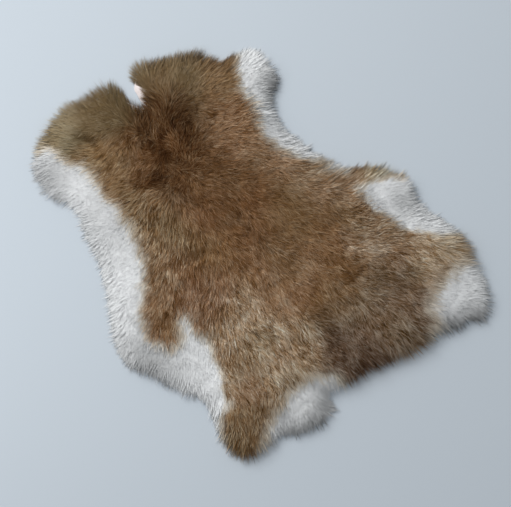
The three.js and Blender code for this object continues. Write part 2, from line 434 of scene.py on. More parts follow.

# Painted shade that greys the white hair where it is thin or turned from the light
PAINTED_SHADE_SPOTS = [
    ("paw tuft side", -67, 121, 14, 0.6),
    ("belly corner", 2, -115, 26, 0.42),
    ("leg tuft side", 136, -59, 20, 0.44),
    ("leg tuft back", 124, -79, 13, 0.42),
    ("leg tuft root", 110, -97, 9, 0.4),
    ("leg tuft top", 112, -40, 12, 0.4),
    ("left arm", -161, -54, 20, 0.42),
    ("left arm heel", -143, -60, 9, 0.35),
    ("left flank front", -98, -56, 28, 0.2),
    ("hind leg hollow", 72, 117, 12, 0.3),
    ("tail corner side", 177, 84, 13, 0.55),
    ("tail corner back", 168, 69, 13, 0.55),
]
# Painted shade that greys the white hair a little all along the rim
PAINTED_RIM_SHADE = 0.04

# Painted light at the head's rim, which faces the window, where light shines through the thin hair: its
# colour as linear light, how strong it is, where it ends and over what run
PAINTED_RIM_LIGHT = (0.5, 0.42, 0.3)
PAINTED_RIM_LIGHT_SHARE = 0.35
PAINTED_RIM_LIGHT_END = -95
PAINTED_RIM_LIGHT_RUN = 30

# How warmer places change red, green and blue, and how the painted shade in partings and creases does
WARMER = (1, -0.2, -0.5)
CREASE_SHADE_TINT = (0.9, 1.0, 1.15)

# Colours along the hair and elsewhere, as linear light
LIGHT_TIP = (0.6, 0.5, 0.38, 1)
# Cream and white hairs are darker at the root, partly their own colour and partly painted shade deep in
# the pile
CREAM_ROOT = (0.5, 0.42, 0.31, 1)
CREAM_TIP = (0.75, 0.68, 0.57, 1)
WHITE_ROOT = (0.78, 0.8, 0.81, 1)
WHITE_TIP = (0.89, 0.91, 0.92, 1)
WHITE_UNDER_DARK = (0.74, 0.76, 0.77, 1)
WHITE_UNDER_LIGHT = (0.86, 0.88, 0.89, 1)
HIDE_DARK = (0.82, 0.75, 0.74, 1)
HIDE_LIGHT = (0.9, 0.87, 0.87, 1)
FLOOR_COLOUR = (0.511, 0.569, 0.625, 1)
WORLD_COLOUR = (0.98, 0.99, 1.0, 1)

# Roughness, and how much all materials shine
HAIR_ROUGHNESS = 0.75
UNDERFUR_ROUGHNESS = 0.9
HIDE_ROUGHNESS = 0.8
FLOOR_ROUGHNESS = 0.7
SPECULAR = 0.1

# What is eased along the hair, its tint or its whiteness: from where to where, and between what values
# The hair darkens towards its root, partly its own darker base and partly painted shade deep in the pile
SHADE_ALONG = (0.05, 0.7, 0.62, 1.08)
LIGHT_TIP_ALONG = (0.45, 0.8)
LIGHT_TIP_TINTS = (0.0, 0.7)
DARK_TIP_ALONG = (0.6, 0.95)
DARK_TIP_TINTS = (0.0, -0.8)
CREAM_ALONG = (0.0, 0.6)
WHITE_ALONG = (0.0, 0.5)
BROWN_TO_PALE = (0.1, 0.66)
CREAM_TO_WHITE = (0.5, 0.9)

# The most that tips lighten and darken, and what a hair's tint does to its colour
LIGHT_TIP_MOST = 0.75
DARK_TIP_MOST = 0.4
TINT_TO_WHITE = 0.14
TINT_CONTRAST = 0.3
WHITE_CONTRAST = 0.03
LEAST_STRENGTH = 0.2
GREEN_TURN = 0.4
BLUE_TURN = 0.95

# The noises of the underfur and the hide: how fine each is, and its detail
FUZZ = (900.0, 3.0)
CLUMPS = (160.0, 2.0)
GRAIN = (1500.0, 4.0)
PATCHES = (45.0, 3.0)

# How those noises shade and roughen, eased as above, and how strongly and how far they raise
UNDERFUR_SHADES = (0.6, 1.4, 0.5, 0.8)
UNDERFUR_BUMP = (0.6, 0.0008)
HIDE_PATCHES = (0.35, 0.7)
HIDE_ROUGH_PATCHES = (0.3, 0.7, 0.72, 0.9)
HIDE_BUMP = (0.4, 0.0004)
GRAIN_SHADE = 0.2
GRAIN_DARKEST = 0.88

# The coat is grown in six bands along the spine, from these places on, each with its own seeds
BANDS = [
    ("fur_neck", -300),
    ("fur_shoulders", -101),
    ("fur_back", -45),
    ("fur_waist", 7),
    ("fur_loin", 56),
    ("fur_rump", 104),
]
COAT_END = 300
SEED_STEP = 10

# For one, three or four numbers a point, the kind of attribute and what its numbers are called
KINDS = {1: ("FLOAT", "value"), 3: ("FLOAT_VECTOR", "vector"), 4: ("FLOAT_COLOR", "color")}

# The camera looks straight down, turned so that the tail points to the lower right
CAMERA_PLACE = (0.0098, 0.0084, 1.05)
VIEW_WIDTH = 0.4195
SENSOR_WIDTH = 36.0
IMAGE_RIGHT = (0.756, 0.655, 0)
IMAGE_UP = (-0.655, 0.756, 0)

# Each light's name, place, size, power and colour
LIGHTS = [
    ("window", (-0.93, 0.21, 0.89), 0.8, 11.2, (1.0, 0.99, 0.98)),
    ("side light", (-0.27, -0.32, 0.35), 0.35, 0.5, (1.0, 1.0, 1.0)),
]
WORLD_STRENGTH = 0.52
FLOOR_HALF = 6


def linear(code):
    """A colour of six hexadecimal digits as linear light."""
    parts = [int(code[i : i + 2], 16) / 255 for i in (0, 2, 4)]
    return np.array([((c + 0.055) / 1.055) ** 2.4 if c > 0.04 else c / 12.92 for c in parts])


def smooth(x):
    x = np.clip(x, 0, 1)
    return x * x * (3 - 2 * x)


def unit(ways):
    """The ways, each with a length of one."""
    return ways / np.maximum(np.linalg.norm(ways, axis=1), 1e-6)[:, None]


def bumps(places, name):
    """Soft bumps to either side of nought, with no direction or repeat of their own."""
    swing, size, number = BUMPS[name]
    cell = np.floor(places / size)
    share = smooth(places / size - cell)

    def corner(dx, dy):
        spot = (cell[:, 0] + dx) * HASH_X + (cell[:, 1] + dy) * HASH_Y + number * HASH_NUMBER
        return 2 * ((np.sin(spot) * HASH_SCALE) % 1) - 1

    low = corner(0, 0) * (1 - share[:, 0]) + corner(1, 0) * share[:, 0]
    high = corner(0, 1) * (1 - share[:, 0]) + corner(1, 1) * share[:, 0]
    return swing * (low * (1 - share[:, 1]) + high * share[:, 1])


def rim_curve(per_span=14):
    """A smooth closed curve through the rim's places, as in the solid."""
    places = np.array([(x, y) for _, x, y in RIM], float)
    t = np.linspace(0, 1, per_span, endpoint=False)[:, None]
    curve = []
    for i in range(len(places)):
        a, b, c, d = (places[(i + k) % len(places)] for k in (-1, 0, 1, 2))
        ab, bc, cd = (math.dist(p, q) ** 0.5 for p, q in ((a, b), (b, c), (c, d)))
        out = ((b - a) / ab - (c - a) / (ab + bc) + (c - b) / bc) * bc
        into = ((c - b) / bc - (d - b) / (bc + cd) + (d - c) / cd) * bc
        curve.append(
            b
            + out * t
            + (3 * (c - b) - 2 * out - into) * t**2
            + (2 * (b - c) + out + into) * t**3
        )
    return np.concatenate(curve)


def spaced(curve, step):
    """The closed curve as points at even steps."""
    ends = np.vstack([curve, curve[:1]])
    run = np.concatenate([[0], np.cumsum(np.linalg.norm(np.diff(ends, axis=0), axis=1))])
    at = np.linspace(0, run[-1], round(run[-1] / step), endpoint=False)
    return np.stack([np.interp(at, run, ends[:, k]) for k in (0, 1)], axis=1)


def inset(curve, depth_at, step):
    """The closed clockwise curve moved inwards by a depth that varies along it, without folds."""
    points = spaced(curve, step)
    depth = depth_at(points)[:, None]
    along = np.roll(points, -1, axis=0) - np.roll(points, 1, axis=0)
    along /= np.linalg.norm(along, axis=1)[:, None]
    moved = points + depth * np.stack([along[:, 1], -along[:, 0]], axis=1)
    return moved[depth_in(curve, moved) > FOLD_SHARE * depth[:, 0]]


def nearest_on(outline, places):
    """For each place, the nearest point of a closed outline."""
    start, line = outline, np.roll(outline, -1, axis=0) - outline
    square = (line**2).sum(axis=1)
    found = np.empty_like(places)
    for first in range(0, len(places), PLACES_AT_ONCE):
        some = places[first : first + PLACES_AT_ONCE, None]
        share = np.clip(((some - start) * line).sum(axis=2) / square, 0, 1)
        spot = start + share[..., None] * line
        best = ((spot - some) ** 2).sum(axis=2).argmin(axis=1)
        found[first : first + PLACES_AT_ONCE] = spot[np.arange(len(best)), best]
    return found


def inside(outline, places):
    """Whether each place lies inside a closed outline."""
    x, y = places[:, 0, None], places[:, 1, None]
    x1, y1 = outline.T
    x2, y2 = np.roll(outline, -1, axis=0).T
    crossing = (y1 > y) != (y2 > y)
    return (crossing & (x < (x2 - x1) * (y - y1) / (y2 - y1 + 1e-12) + x1)).sum(axis=1) % 2 == 1


def depth_in(outline, places):
    """How far inside a closed outline each place lies; outside it is negative."""
    away = np.linalg.norm(nearest_on(outline, places) - places, axis=1)
    return np.where(inside(outline, places), away, -away)


rim = rim_curve()


def out_from(places):
    """The way from each place to the nearest part of the solid's rim."""
    return unit(nearest_on(rim, places) - places)


def facing_tail(places):
    """From 1 where the nearest rim faces the tail end down to 0 where it faces the head."""
    return smooth((out_from(places)[:, 0] - TAIL_FROM) / TAIL_RUN)


def near(places, x, y, reach):
    """From 1 at a spot down to 0 away from it."""
    return np.exp(-((places - (x, y)) ** 2).sum(axis=1) / reach**2)


def short(places):
    """How far inside the solid's rim the fur's own rim lies."""
    total = np.full(len(places), RIM_SHORT)
    for _, x, y, reach, further in SHORT:
        total += further * near(places, x, y, reach)
    return total


def fur_depth(places):
    """How far inside the fur's own rim each place lies."""
    return depth_in(rim, places) - short(places)


def from_line(places, start, end):
    """The way from the nearest point of a line to each place, not yet of length one."""
    start, end = np.array(start, float), np.array(end, float)
    share = np.clip((places - start) @ (end - start) / ((end - start) ** 2).sum(), 0, 1)
    return places - (start + share[:, None] * (end - start))


def near_line(places, start, end, reach):
    """From 1 on a line down to 0 away from it."""
    away = np.linalg.norm(from_line(places, start, end), axis=1)
    return np.exp(-((away / reach) ** 2))


def whorl(places):
    """From 1 on the parting, where the fur stands up in tufts, down to 0 away from it."""
    return near_line(places, *PARTING, WHORL_REACH)


def calm(places, white):
    """From 1 where the hair lies smooth down to 0 where it is tufted."""
    level = white
    for _, x, y, reach, most in CALM:
        level = np.maximum(level, most * near(places, x, y, reach))
    return level


def by_cut(places):
    """From 1 at the cut in the neck, where the hide's edge shows, down to 0 away from it."""
    return near_line(places, *CUT_LINE, CUT_REACH)


def ways_on(places, depth):
    """The way the fur lies at each place: out from the parting, and straight out at the rim."""
    way = unit(from_line(places, *PARTING))
    out = out_from(places)
    x, y, reach, strength = BRUSHED
    back = strength * near(places, x, y, reach)
    way = way + back[:, None] * np.array([1.0, 0.0])
    messy = whorl(places)
    turn = messy * (bumps(places, "turn at the parting") + PARTING_TURN)
    fine = FINE_TURN + WHORL_FINE_TURN * messy**WHORL_FINE_POWER
    turn += bumps(places, "broad turn") + fine * bumps(places, "fine turn")
    cos, sin = np.cos(turn), np.sin(turn)
    way = np.stack([way[:, 0] * cos - way[:, 1] * sin, way[:, 0] * sin + way[:, 1] * cos], axis=1)
    edge = smooth(1 - depth / RIM_LAY_WIDTH)[:, None]
    return unit(unit(way) * (1 - RIM_LAY * edge) + out * RIM_LAY * edge)


def whiteness(places):
    """The share of white hair at each place."""
    wander = bumps(places, "broad white edge") + bumps(places, "fine white edge")
    white = np.zeros(len(places))
    for name, outline in WHITE.items():
        depth = depth_in(np.array(outline, float), places) + wander
        white = np.maximum(white, smooth(0.5 + depth / (2 * WHITE_EDGES[name])))
    return white


def browns(places, depth):
    """The brown coat's colour, with painted light at the head's rim and painted shade in partings, the
    strength of its light tips, and how its hairs differ.
    """
    total = np.zeros((len(places), 5))
    weights = np.zeros((len(places), 1))
    for _, x, y, reach, shade, tipped, contrast in BROWNS:
        weight = near(places, x, y, reach)[:, None] + LEAST_WEIGHT
        total += weight * np.append(linear(PALETTE[shade]), (tipped, contrast))
        weights += weight
    total /= weights
    colour = total[:, :3] * (1 + bumps(places, "warmth")[:, None] * WARMER)
    # Painted light at the head's rim, where the hair faces the window
    painted_rim_light = PAINTED_RIM_LIGHT_SHARE * smooth(1 - depth / PAINTED_RIM_LIGHT_WIDTH) * smooth((PAINTED_RIM_LIGHT_END - places[:, 0]) / PAINTED_RIM_LIGHT_RUN)
    colour = colour * (1 - painted_rim_light[:, None]) + painted_rim_light[:, None] * PAINTED_RIM_LIGHT
    # Painted shade where the pile parts and creases
    for _, x1, y1, x2, y2, width, dark in PAINTED_CREASE_SHADE:
        colour *= 1 - dark * near_line(places, (x1, y1), (x2, y2), width)[:, None] * CREASE_SHADE_TINT
    return colour, total[:, 3], total[:, 4]


def painted_shade(places, depth):
    """How strongly painted shade greys the white hair at each place."""
    grey = PAINTED_RIM_SHADE * smooth(1 - depth / PAINTED_RIM_SHADE_WIDTH)
    for _, x, y, reach, strength in PAINTED_SHADE_SPOTS:
        grey = np.maximum(grey, strength * near(places, x, y, reach))
    return grey


class Wire:
    """A node's output. Adding, taking and multiplying put Math nodes behind it."""

    def __init__(self, graph, socket):
        self.graph, self.socket = graph, socket

    def math(self, operation, *others):
        sockets = dict(enumerate([self, *others]))
        return self.graph.node("ShaderNodeMath", {"operation": operation}, sockets).out()

    def __add__(self, other):
        return self.math("ADD", other)

    def __mul__(self, other):
        return self.math("MULTIPLY", other)

    def __sub__(self, other):
        return self.math("SUBTRACT", other)

    def __rsub__(self, other):
        return (self * -1.0) + other

    __radd__ = __add__
    __rmul__ = __mul__


class Node:
    def __init__(self, graph, made):
        self.graph, self.made = graph, made

    def out(self, key=0):
        return Wire(self.graph, self.made.outputs[key])


class Graph:
    """A node tree. node() takes a type, its settings and what goes into its sockets."""

    def __init__(self, tree):
        self.tree = tree

    def node(self, kind, settings=None, sockets=None):
        made = self.tree.nodes.new(kind)
        for name, value in (settings or {}).items():
            setattr(made, name, value)
        for key, value in (sockets or {}).items():
            if isinstance(value, Wire):
                self.tree.links.new(value.socket, made.inputs[key])
            else:
                made.inputs[key].default_value = value
        return Node(self, made)

    def mix(self, share, first, second):
        settings = {"data_type": "RGBA", "clamp_factor": True}
        return self.node("ShaderNodeMix", settings, {0: share, 6: first, 7: second}).out(2)

    def vector(self, operation, first, second):
        sockets = {0: first, 3 if operation == "SCALE" else 1: second}
        return self.node("ShaderNodeVectorMath", {"operation": operation}, sockets).out(0)

    def scaled(self, colour, by):
        return self.vector("SCALE", colour, by)

    def joined(self, x, y, z):
        return self.node("ShaderNodeCombineXYZ", None, {0: x, 1: y, 2: z}).out(0)

    def ease(self, value, low, high, to_low=0.0, to_high=1.0):
        """The value from low to high, eased from to_low to to_high."""
        settings = {"interpolation_type": "SMOOTHSTEP"}
        sockets = {0: value, 1: low, 2: high, 3: to_low, 4: to_high}
        return self.node("ShaderNodeMapRange", settings, sockets).out(0)

    def read(self, name, output):
        return self.node("ShaderNodeAttribute", {"attribute_name": name}).out(output)

    def noise(self, place, scale, detail):
        sockets = {"Vector": place, "Scale": scale, "Detail": detail}
        return self.node("ShaderNodeTexNoise", None, sockets)

    def bump(self, height, strength, distance):
        sockets = {"Strength": strength, "Distance": distance, "Height": height}
        return self.node("ShaderNodeBump", None, sockets).out()

    def feed(self, wire, shader, name):
        self.tree.links.new(wire.socket, shader.inputs[name])


def material(name, roughness):
    """A new material's graph and its shader."""
    made = bpy.data.materials.new(name)
    made.use_nodes = True
    graph = Graph(made.node_tree)
    shader = made.node_tree.nodes["Principled BSDF"]
    shader.inputs["Roughness"].default_value = roughness
    shader.inputs["Specular IOR Level"].default_value = SPECULAR
    return made, graph, shader


def hair_material():
    made, graph, shader = material("rabbit hair", HAIR_ROUGHNESS)
    along = graph.read("along", "Fac")
    tint = graph.read("tint", "Fac")
    coat = graph.read("coat", "Fac") + tint * TINT_TO_WHITE
    tipped = graph.read("tipped", "Fac")
    grey = graph.read("grey", "Fac")
    brown = graph.read("brown", "Color")
    # The hair darkens towards its root, partly its own darker base and partly painted shade deep in the
    # pile
    base = graph.ease(along, *SHADE_ALONG)
    light_tip = graph.ease(along, *LIGHT_TIP_ALONG) * graph.ease(tint, *LIGHT_TIP_TINTS) * tipped
    dark_tip = graph.ease(along, *DARK_TIP_ALONG) * graph.ease(tint, *DARK_TIP_TINTS) * DARK_TIP_MOST
    strength = tint * graph.read("contrast", "Fac") * TINT_CONTRAST + 1.0
    strength = strength.math("MAXIMUM", LEAST_STRENGTH) * (1.0 - dark_tip)
    # Darker hair is a deeper brown, and lighter hair is greyer
    greener = strength * (strength * GREEN_TURN + (1 - GREEN_TURN))
    bluer = strength * (strength * BLUE_TURN + (1 - BLUE_TURN))
    toned = graph.vector("MULTIPLY", brown, graph.joined(strength, greener, bluer))
    hair = graph.mix(light_tip * LIGHT_TIP_MOST, graph.scaled(toned, base), LIGHT_TIP)
    cream = graph.mix(graph.ease(along, *CREAM_ALONG), CREAM_ROOT, CREAM_TIP)
    white = graph.mix(graph.ease(along, *WHITE_ALONG), WHITE_ROOT, WHITE_TIP)
    # Painted shade greys the white hair where it is turned from the light
    white = graph.scaled(white, (tint * WHITE_CONTRAST + 1.0) * (1.0 - grey))
    pale = graph.mix(graph.ease(coat, *CREAM_TO_WHITE), cream, white)
    graph.feed(graph.mix(graph.ease(coat, *BROWN_TO_PALE), hair, pale), shader, "Base Color")
    return made


def underfur_material():
    made, graph, shader = material("rabbit underfur", UNDERFUR_ROUGHNESS)
    coat = graph.read("coat", "Fac")
    brown = graph.read("brown", "Color")
    place = graph.node("ShaderNodeTexCoord").out("Object")
    fuzz = graph.noise(place, *FUZZ).out(0)
    clumps = graph.noise(place, *CLUMPS).out(0)
    # The underfur is a darker brown than the hair, partly its own colour and partly painted shade deep
    # in the pile
    dark = graph.scaled(brown, graph.ease(fuzz + clumps, *UNDERFUR_SHADES))
    white = graph.mix(fuzz, WHITE_UNDER_DARK, WHITE_UNDER_LIGHT)
    graph.feed(graph.mix(coat, dark, white), shader, "Base Color")
    graph.feed(graph.bump(fuzz, *UNDERFUR_BUMP), shader, "Normal")
    return made


def hide_material():
    made, graph, shader = material("tanned hide", HIDE_ROUGHNESS)
    place = graph.node("ShaderNodeTexCoord").out("Object")
    grain = graph.noise(place, *GRAIN).out(0)
    patches = graph.noise(place, *PATCHES).out(0)
    colour = graph.mix(graph.ease(patches, *HIDE_PATCHES), HIDE_DARK, HIDE_LIGHT)
    graph.feed(graph.scaled(colour, grain * GRAIN_SHADE + GRAIN_DARKEST), shader, "Base Color")
    graph.feed(graph.bump(grain, *HIDE_BUMP), shader, "Normal")
    graph.feed(graph.ease(patches, *HIDE_ROUGH_PATCHES), shader, "Roughness")
    return made


def new_object(name, vertices, faces, finish=None):
    mesh = bpy.data.meshes.new(name)
    mesh.from_pydata([tuple(v) for v in vertices], [], [tuple(f) for f in faces])
    mesh.polygons.foreach_set("use_smooth", [True] * len(mesh.polygons))
    if finish:
        mesh.materials.append(finish)
    mesh.update()
    made = bpy.data.objects.new(name, mesh)
    bpy.context.scene.collection.objects.link(made)
    return made


def triangles(points, ring):
    """Points and triangles inside the outline that the first points make."""
    around = [list(range(ring))]
    done = delaunay_2d_cdt([Vector(p) for p in points], [], around, INSIDE_ONLY, CLOSENESS)
    return done[0], done[2]


def filled(outline, step):
    """Points and triangles that fill a closed outline evenly. The outline's points come first."""
    low, high = outline.min(axis=0), outline.max(axis=0)
    columns = np.arange(low[0], high[0], step)
    rows = np.arange(low[1], high[1], step * ROW_SHARE)
    x, y = np.meshgrid(columns, rows)
    x = x + (np.arange(len(rows)) % 2)[:, None] * step / 2
    places = np.stack([x.ravel(), y.ravel()], axis=1)
    places = places[depth_in(outline, places) > EDGE_GAP * step]
    points, faces = triangles(np.vstack([outline, places]), len(outline))
    return np.array([tuple(v) for v in points]), [tuple(f) for f in faces]


def closed_sheet(name, outline, step, top_of, finish):
    """A closed body on the floor: flat below, with its top's height given by top_of(places)."""
    places, faces = filled(outline, step)
    count, ring = len(places), len(outline)
    top = np.column_stack([places, top_of(places)])
    low_ring = np.column_stack([outline, np.zeros(ring)])
    faces = [f if turns_left(places, f) else f[::-1] for f in faces]
    for f in triangles(outline, ring)[1]:
        low = f[::-1] if turns_left(outline, f) else f
        faces.append(tuple(count + i for i in low))
    for i in range(ring):
        j = (i + 1) % ring
        faces.append((i, j, count + j, count + i))
    return new_object(name, np.vstack([top, low_ring]) * MM, faces, finish)


def turns_left(points, face):
    a, b, c = (points[i] for i in face[:3])
    return (b[0] - a[0]) * (c[1] - a[1]) - (b[1] - a[1]) * (c[0] - a[0]) > 0


def pile_heights(places):
    """The height of the solid's lumpy top over each place, nought outside it."""
    node = frame["nodes"]["pelt"]
    mesh = node.data
    corners = [node.matrix_world @ v.co for v in mesh.vertices]
    tree = BVHTree.FromPolygons(corners, [tuple(p.vertices) for p in mesh.polygons])
    heights = np.zeros(len(places))
    for i, (x, y) in enumerate(places):
        hit = tree.ray_cast(Vector((x * MM, y * MM, FEEL_FROM)), Vector((0, 0, -1)))[0]
        heights[i] = hit.z / MM if hit else 0.0
    return heights


def mat_top(places):
    """The underfur is lower than the pile and tufted. It slopes to the rim, most at the tail end."""
    heights = pile_heights(places) * MAT_SHARE
    depth = fur_depth(places) - FUR_INSET
    steep = MAT_SLOPE_SIDE + (MAT_SLOPE_TAIL - MAT_SLOPE_SIDE) * facing_tail(places)
    slope = MAT_RIM + steep * np.clip(depth, 0, MAT_RUN)
    tufts = bumps(places, "underfur") * smooth(depth / MAT_TUFTS_FROM)
    return np.maximum(np.minimum(heights, slope), MAT_RIM) + tufts


def put(mesh, name, values):
    """Gives a mesh's points an attribute."""
    values = np.ascontiguousarray(values, np.float32)
    kind, key = KINDS[values.size // len(values)]
    mesh.attributes.new(name, kind, "POINT").data.foreach_set(key, values.ravel())


def numbers(mesh, name, width=1):
    """A mesh's attribute as an array."""
    values = np.empty(len(mesh.vertices) * width, np.float32)
    mesh.attributes[name].data.foreach_get(KINDS[width][1], values)
    return values.reshape(-1, width) if width > 1 else values


def corners_of(mesh, key="co"):
    """A mesh's points, or their normals."""
    values = np.empty(len(mesh.vertices) * 3, np.float32)
    mesh.vertices.foreach_get(key, values)
    return values.reshape(-1, 3)


def grow_attributes(mesh):
    """Gives the underfur's points what the hair that grows there needs, and returns it."""
    count = len(mesh.vertices)
    normals = corners_of(mesh, "normal").astype(float)
    places = corners_of(mesh).astype(float)[:, :2] / MM
    depth = np.maximum(fur_depth(places), 0)
    inner = depth - FUR_INSET
    way = ways_on(places, depth)
    flat = np.column_stack([way, np.zeros(count)])
    up = np.array([0, 0, 1.0])
    slope = unit(flat - normals * (flat * normals).sum(axis=1)[:, None])
    tufted = whorl(places)
    white = whiteness(places)
    smoothed = calm(places, white)
    lift = ((HAIR_LIFT + WHORL_LIFT * tufted) * (1 - (1 - CALM_LIFT) * smoothed))[:, None]
    over = slope * np.cos(lift) + normals * np.sin(lift)
    tail = facing_tail(places)
    rim_lift = (RIM_LIFT + (RIM_LIFT_TAIL - RIM_LIFT) * tail)[:, None]
    out = flat * np.cos(rim_lift) + up * np.sin(rim_lift)
    edge = smooth(1 - inner / RIM_WIDTH)
    overhang = RIM_OVERHANG + bumps(places, "overhang") + CUT_OVERHANG * by_cut(places)
    share = (1 - CALM_SHORTER * smoothed) * (1 - WHORL_SHORTER * tufted)
    length = (HAIR_LENGTH + bumps(places, "hair length")) * share
    length = np.minimum(length, depth + overhang)
    guard_overhang = overhang + GUARD_OVERHANG * (1 - CALM_GUARD_SHORTER * smoothed)
    guard_length = (GUARD_LENGTH + bumps(places, "guard length")) * share
    seen = places + way * (SEEN_AT * length)[:, None]
    seen_depth = np.maximum(fur_depth(seen), 0)
    brown, tipped, contrast = browns(seen, seen_depth)
    level = RIM_LEVEL * smooth(1 - inner / LEVEL_BAND) * (1 - tail)
    finer = 1 - RIM_FINER * edge * (1 - WHITE_COARSER * white)
    wider = 1 + CALM_WIDER * smoothed * (1 - edge * (1 - white))
    strays = (STRAY + WHORL_STRAY * tufted) * (1 - RIM_TIDIER * edge) * (1 - CALM_TIDIER * smoothed)
    drawn = TUFT_PULL * (1 - (1 - CALM_PULL) * smoothed) * (1 - (1 - RIM_PULL) * edge)
    told = {
        "lay": unit(over * (1 - edge[:, None]) + out * edge[:, None]),
        "under": unit(normals * (1 - level[:, None]) + up * level[:, None]),
        "hair_length": length * MM,
        "guard_length": np.minimum(guard_length, depth + guard_overhang) * MM,
        "coat": whiteness(seen),
        "tipped": tipped,
        "contrast": contrast,
        "grey": painted_shade(seen, seen_depth),
        "stray": strays,
        "pull": drawn * (1 + WHORL_PULL * tufted),
        "dense": 1 + RIM_MORE * smooth(1 - inner / RIM_BAND),
        "spread": LENGTH_SPREAD + RIM_SPREAD * edge * (1 - by_cut(places)),
        "width": finer * wider,
        "arch": 1 - (1 - CALM_ARCH) * smoothed,
        "own": OWN_SHADE * (1 - CALM_SMOOTHER * smoothed),
        "brown": np.column_stack([brown, np.ones(count)]),
    }
    for name, values in told.items():
        put(mesh, name, values)
    return told


def strand(name, widest, arch, curl, width):
    """A closed hair one unit long along +X: its root, its two sides where it is widest, its tip."""
    bend = curl * widest * widest
    points = [
        (0, 0, 0),
        (widest, bend - width, arch),
        (widest, bend + width, arch),
        (1, curl, -TIP_DROP * arch),
    ]
    faces = [(0, 1, 2), (1, 3, 2), (0, 3, 1), (0, 2, 3)]
    made = new_object(name, points, faces)
    put(made.data, "along", [0, widest, widest, 1])
    put(made.data, "across", [0.5, 0.15, 0.85, 0.5])
    return made


def strand_group(name, widest, width, arches, curls):
    """Hairs of one kind that differ in arch and curl, in a collection of their own."""
    group = bpy.data.collections.new(name)
    for i, arch in enumerate(arches):
        for j, curl in enumerate(curls):
            made = strand(f"{name}_{i}{j}", widest, arch, curl, width)
            bpy.context.scene.collection.objects.unlink(made)
            group.objects.link(made)
    return group


def coat_tree():
    """Grows hair over a surface, laid along its own directions."""
    tree = bpy.data.node_groups.new("grow coat", "GeometryNodeTree")
    for name, kind in (
        ("Geometry", "Geometry"),
        ("Hairs", "Collection"),
        ("Per Square Metre", "Float"),
        ("Stray Factor", "Float"),
        ("Pull Factor", "Float"),
        ("Length", "String"),
        ("Rise", "Float"),
        ("Seed", "Int"),
        ("Finish", "Material"),
    ):
        tree.interface.new_socket(name, in_out="INPUT", socket_type="NodeSocket" + kind)
    tree.interface.new_socket("Geometry", in_out="OUTPUT", socket_type="NodeSocketGeometry")
    graph = Graph(tree)
    given = graph.node("NodeGroupInput")

    def named(name, kind="FLOAT"):
        settings = {"data_type": kind}
        return graph.node("GeometryNodeInputNamedAttribute", settings, {"Name": name}).out()

    def random(kind, low, high, seed):
        output = {"FLOAT_VECTOR": 0, "FLOAT": 1, "INT": 2}[kind]
        sockets = {"Seed": given.out("Seed") + float(seed), 2 * output: low, 2 * output + 1: high}
        return graph.node("FunctionNodeRandomValue", {"data_type": kind}, sockets).out(output)

    roots = graph.node(
        "GeometryNodeDistributePointsOnFaces",
        {"distribute_method": "RANDOM"},
        {
            "Mesh": given.out("Geometry"),
            "Density": named("dense") * given.out("Per Square Metre"),
            "Seed": given.out("Seed"),
        },
    )
    place = graph.node("GeometryNodeInputPosition").out(0)

    shift = graph.vector("SUBTRACT", graph.noise(place, CELL_WANDER_SCALE, 1.0).out(1), (0.5, 0.5, 0.5))
    shifted = graph.vector("ADD", place, graph.scaled(shift, CELL_WANDER))

    def middle(scale):
        cells = {"Vector": shifted, "Scale": scale}
        return graph.node("ShaderNodeTexVoronoi", None, cells).out("Position")

    tuft = middle(TUFT_CELLS)
    middles = graph.vector("ADD", tuft, middle(WISP_CELLS))
    inwards = graph.vector("SUBTRACT", middles, graph.scaled(shifted, 2.0))
    inwards = graph.vector("MULTIPLY", inwards, (1, 1, 0))
    pull = graph.scaled(inwards, named("pull") * given.out("Pull Factor"))
    loose = named("stray") * given.out("Stray Factor")
    stray = graph.scaled(random("FLOAT_VECTOR", STRAY_LOW, STRAY_HIGH, 1), loose)
    rise = graph.joined(1.0, 1.0, given.out("Rise"))
    lay = graph.vector("MULTIPLY", named("lay", "FLOAT_VECTOR"), rise)
    way = graph.vector("ADD", graph.vector("ADD", lay, pull), stray)
    turn = graph.node(
        "FunctionNodeAxesToRotation",
        {"primary_axis": "X", "secondary_axis": "Z"},
        {0: way, 1: (0, 0, 1)},
    ).out(0)
    share = named("spread") * random("FLOAT", -1.0, 1.0, 2) + LENGTH_SHARE
    size = named(given.out("Length")) * share
    width = size * named("width")
    arch = size * named("arch")
    tinted = graph.node(
        "GeometryNodeStoreNamedAttribute",
        {"data_type": "FLOAT", "domain": "POINT"},
        {
            "Geometry": roots.out("Points"),
            "Name": "tint",
            "Value": random("FLOAT", -HAIR_TONE, HAIR_TONE, 3)
            + (graph.noise(tuft, TUFT_TONE_SCALE, 1.0).out(0) - 0.5) * TUFT_TONE
            + (graph.noise(place, PLACE_TONE_SCALE, 1.0).out(0) - 0.5) * PLACE_TONE,
        },
    )
    sockets = {"Collection": given.out("Hairs"), "Separate Children": True, "Reset Children": True}
    picked = graph.node("GeometryNodeCollectionInfo", None, sockets)
    coat = graph.node(
        "GeometryNodeInstanceOnPoints",
        None,
        {
            "Points": tinted.out(0),
            "Instance": picked.out(0),
            "Pick Instance": True,
            "Instance Index": random("INT", 0, PICKS, 4),
            "Rotation": turn,
            "Scale": graph.joined(size, width, arch),
        },
    )
    plain = graph.node("GeometryNodeRealizeInstances", None, {"Geometry": coat.out(0)})
    points = graph.node("GeometryNodeInputPosition").out(0)
    parts = graph.node("ShaderNodeSeparateXYZ", None, {0: points})
    height = parts.out(2).math("MAXIMUM", FLOOR_REST * MM)
    sockets = {"Geometry": plain.out(0), "Position": graph.joined(parts.out(0), parts.out(1), height)}
    rested = graph.node("GeometryNodeSetPosition", None, sockets)
    sockets = {"Geometry": rested.out(0), "Material": given.out("Finish")}
    finished = graph.node("GeometryNodeSetMaterial", None, sockets)
    graph.node("NodeGroupOutput", None, {0: finished.out(0)})
    return tree


